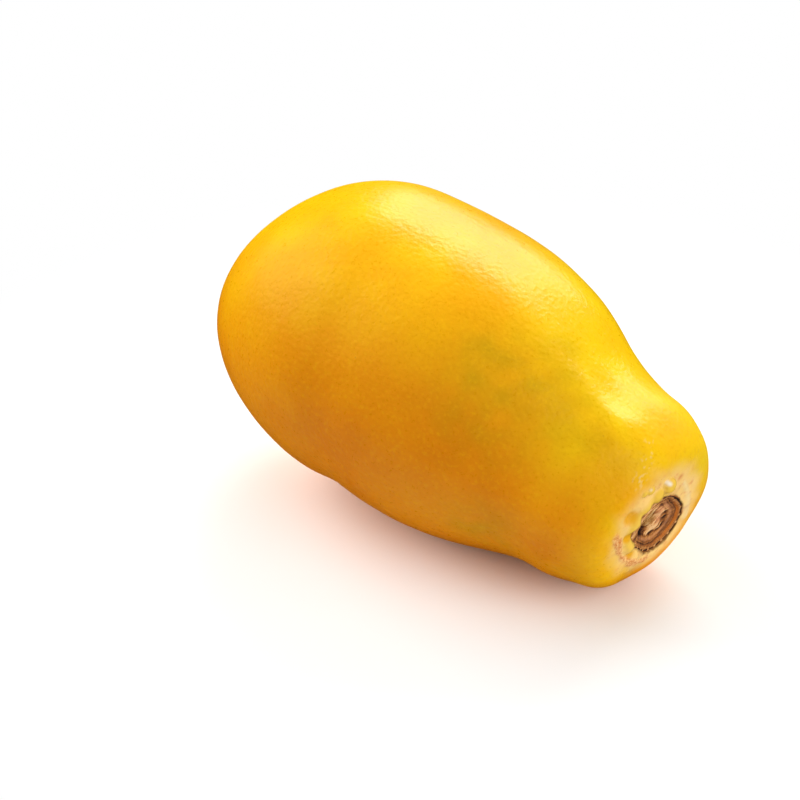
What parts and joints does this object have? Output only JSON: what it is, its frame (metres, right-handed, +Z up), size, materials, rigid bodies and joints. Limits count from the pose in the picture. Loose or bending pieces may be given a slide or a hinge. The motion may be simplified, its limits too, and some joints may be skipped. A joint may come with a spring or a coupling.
{
  "type": "papaya",
  "caption": "Whole ripe yellow papaya with a dried stalk stub in its stem-end hollow, lying on its side on a small flat spot.",
  "frame": {"origin": "centre of the fruit's box in X and Y, on the surface that it rests on, at the height of its flat spot", "axes": "+X along the fruit towards its stem end, +Z up, and +Y to the left when looking from the blossom end to the stem end"},
  "size_m": [0.1638, 0.0952, 0.0977],
  "materials": {
    "skin": "waxy semi-gloss fruit skin, golden yellow with orange, lemon and pale olive areas",
    "stalk": "dry fibrous brown stalk tissue, dull, with darker rings"
  },
  "bodies": {
    "root": {"fruit": "skin", "stem_stub": "stalk"}
  },
  "joints": []
}
